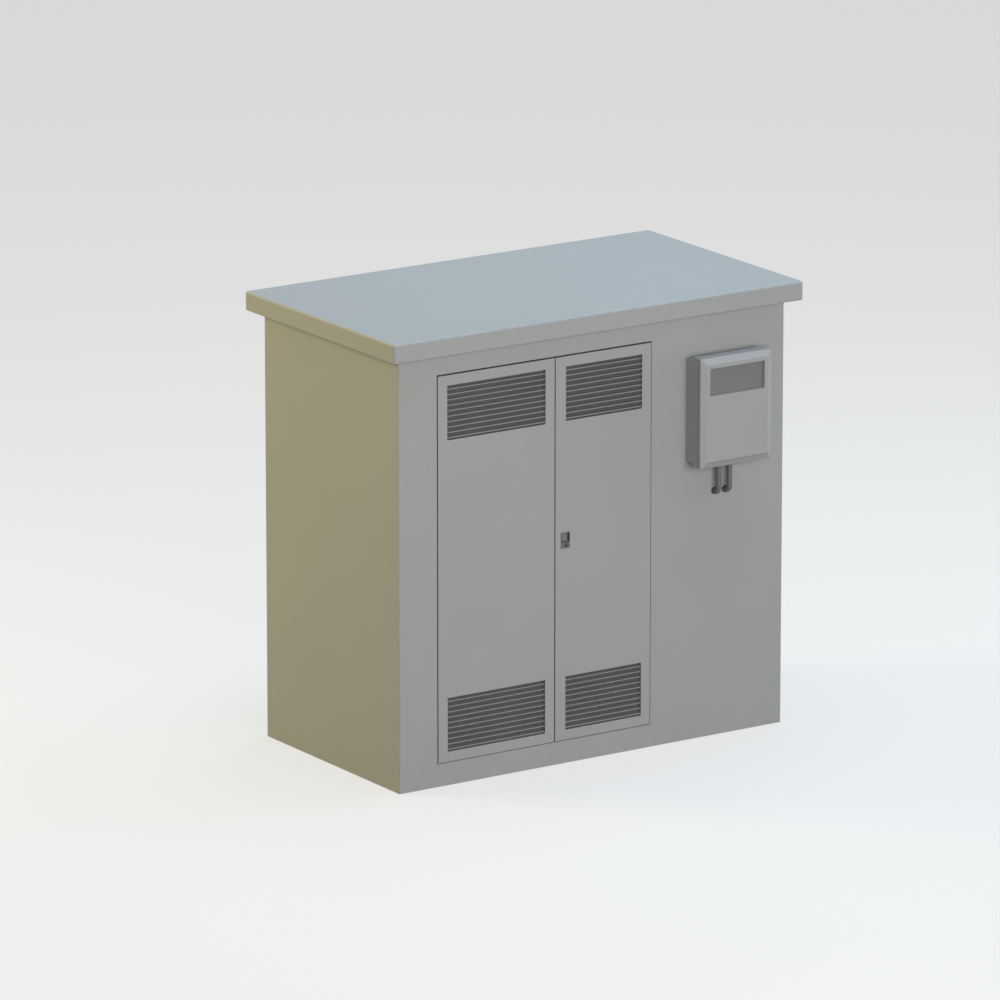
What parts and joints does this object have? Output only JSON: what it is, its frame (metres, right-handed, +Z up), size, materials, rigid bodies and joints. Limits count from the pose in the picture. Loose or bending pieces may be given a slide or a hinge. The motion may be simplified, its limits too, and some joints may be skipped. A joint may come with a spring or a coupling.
{
  "type": "outdoor electrical cabinet",
  "caption": "Free-standing sheet-metal electrical cabinet with a flat overhanging roof, louvred double doors, a flush rod lock and a windowed meter box on its front.",
  "frame": {"origin": "middle of the base frame's underside, on the ground", "axes": "+X to the right along the front, -Y out of the front, +Z up"},
  "size_m": [1.59, 0.941, 1.5],
  "materials": {
    "grey_paint": "satin paint",
    "slat_paint": "satin paint",
    "galvanised_steel": "galvanised",
    "plated_steel": "zinc plated",
    "lock_casting": "satin paint",
    "conduit_plastic": "matt",
    "black_rubber": "matt",
    "filter_fibre": "fibrous",
    "window_glass": "clear",
    "pale_plastic": "matt",
    "dark_plastic": "matt",
    "red_plastic": "gloss",
    "copper": "bright",
    "insulator": "matt"
  },
  "bodies": {
    "cabinet": {"base_frame": "galvanised_steel", "floor_plate": "galvanised_steel", "cable_slot_trim": "black_rubber", "body_shell": "grey_paint", "rear_panel": "grey_paint", "rear_panel_screws": "plated_steel", "roof_cap": "grey_paint", "roof_nuts": "plated_steel", "door_frame": "grey_paint", "centre_post": "grey_paint", "upper_hinge_pins": "plated_steel", "lower_hinge_pins": "plated_steel", "rod_keepers": "galvanised_steel", "cross_rails": "galvanised_steel", "mounting_plate": "galvanised_steel", "mounting_plate_bolts": "plated_steel", "main_switch": "dark_plastic", "busbar_supports": "insulator", "busbars": "copper", "din_rail": "galvanised_steel", "breaker_1": "pale_plastic", "breaker_2": "pale_plastic", "earth_bar": "copper", "earth_bar_standoffs": "insulator", "meter_box_base": "grey_paint", "meter_box_screws": "plated_steel", "meter": "pale_plastic", "meter_terminal_cover": "dark_plastic", "conduit_left": "conduit_plastic", "conduit_right": "conduit_plastic", "conduit_glands": "conduit_plastic", "conduit_grommets": "black_rubber"},
    "left_door": {"left_leaf": "grey_paint", "left_upper_grille": "slat_paint", "left_lower_grille": "slat_paint", "left_filter_mats": "filter_fibre", "left_leaf_seal": "black_rubber", "left_bolt_guides": "galvanised_steel"},
    "top_bolt": {"left_top_bolt": "galvanised_steel"},
    "bottom_bolt": {"left_bottom_bolt": "galvanised_steel"},
    "right_door": {"right_leaf": "grey_paint", "right_upper_grille": "slat_paint", "right_lower_grille": "slat_paint", "right_filter_mats": "filter_fibre", "right_leaf_seal": "black_rubber", "right_rod_guides": "galvanised_steel", "lock_housing": "lock_casting"},
    "pull": {"lock_pull": "lock_casting"},
    "lock_barrel": {"key_barrel": "plated_steel", "lock_pinion": "plated_steel"},
    "top_rod": {"upper_rod": "galvanised_steel"},
    "bottom_rod": {"lower_rod": "galvanised_steel"},
    "box_cover": {"meter_cover": "grey_paint", "meter_window_pane": "window_glass", "meter_cover_seal": "black_rubber", "meter_hinge_pins": "plated_steel"},
    "switch_knob": {"switch_handle": "red_plastic"},
    "toggle_1": {"breaker_toggle_1": "dark_plastic"},
    "toggle_2": {"breaker_toggle_2": "dark_plastic"}
  },
  "joints": [
    {"name": "left_door_hinge", "type": "hinge", "parent": "cabinet", "child": "left_door", "pos_m": [-0.586, -0.3945, 0.72], "axis": [0, 0, -1], "range_deg": [0, 110]},
    {"name": "right_door_hinge", "type": "hinge", "parent": "cabinet", "child": "right_door", "pos_m": [0.2098, -0.3945, 0.72], "axis": [0, 0, 1], "range_deg": [0, 110]},
    {"name": "top_bolt_slide", "type": "slide", "parent": "left_door", "child": "top_bolt", "axis": [0, 0, 1], "range_m": [0, 0.0157]},
    {"name": "bottom_bolt_slide", "type": "slide", "parent": "left_door", "child": "bottom_bolt", "axis": [0, 0, -1], "range_m": [0, 0.0157]},
    {"name": "pull_hinge", "type": "hinge", "parent": "right_door", "child": "pull", "pos_m": [-0.1236, -0.3984, 0.761], "axis": [0, 0, -1], "range_deg": [0, 70]},
    {"name": "key_turn", "type": "hinge", "parent": "right_door", "child": "lock_barrel", "pos_m": [-0.106, -0.39, 0.733], "axis": [0, 1, 0], "range_deg": [0, 90]},
    {"name": "top_rod_slide", "type": "slide", "parent": "right_door", "child": "top_rod", "axis": [0, 0, 1], "range_m": [0, 0.0157]},
    {"name": "bottom_rod_slide", "type": "slide", "parent": "right_door", "child": "bottom_rod", "axis": [0, 0, -1], "range_m": [0, 0.0158]},
    {"name": "box_cover_hinge", "type": "hinge", "parent": "cabinet", "child": "box_cover", "pos_m": [0.634, -0.478, 1.11935], "axis": [0, 0, 1], "range_deg": [0, 90]},
    {"name": "switch_turn", "type": "hinge", "parent": "cabinet", "child": "switch_knob", "pos_m": [-0.42, 0.25, 1.06], "axis": [0, 1, 0], "range_deg": [0, 90]},
    {"name": "toggle_1_throw", "type": "hinge", "parent": "cabinet", "child": "toggle_1", "pos_m": [-0.12, 0.276, 0.86], "axis": [1, 0, 0], "range_deg": [0, 70]},
    {"name": "toggle_2_throw", "type": "hinge", "parent": "cabinet", "child": "toggle_2", "pos_m": [0.06, 0.276, 0.86], "axis": [1, 0, 0], "range_deg": [0, 70]}
  ],
  "couplings": [
    {"joint": "key_turn", "follows": "top_rod_slide", "rad_per_m": 100},
    {"joint": "bottom_rod_slide", "follows": "top_rod_slide", "ratio": 1}
  ]
}
